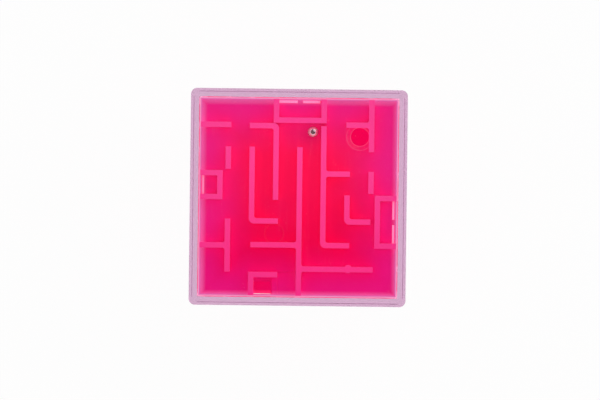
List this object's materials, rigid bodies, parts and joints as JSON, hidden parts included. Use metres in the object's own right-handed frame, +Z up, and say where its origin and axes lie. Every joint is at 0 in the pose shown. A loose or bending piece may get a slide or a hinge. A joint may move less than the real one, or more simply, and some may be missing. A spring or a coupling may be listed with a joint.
{
  "type": "tilt maze game",
  "caption": "Clear cube case with a walled pink maze on every face and a steel ball that is tilted through the corridors.",
  "frame": {"origin": "centre of the underside of the base, where the cube stands", "axes": "+Z up through the face with the ball, +Y towards that face's two-cell pocket beside the ball, +X towards its other two-cell pocket"},
  "size_m": [0.04, 0.04, 0.04],
  "materials": {
    "clear_plastic": "clear, polished",
    "pink_plastic": "translucent, moulded",
    "ball_steel": "polished"
  },
  "bodies": {
    "case": {"clear_cover": "clear_plastic", "clear_base": "clear_plastic", "maze_top": "pink_plastic", "maze_bottom": "pink_plastic", "maze_front": "pink_plastic", "maze_right": "pink_plastic", "maze_back": "pink_plastic", "maze_left": "pink_plastic"},
    "ball": {"steel_ball": "ball_steel"}
  },
  "joints": [
    {"name": "ball_roll", "type": "slide", "parent": "case", "child": "ball", "axis": [0, -1, 0], "range_m": [-0.0002, 0.0236]}
  ]
}
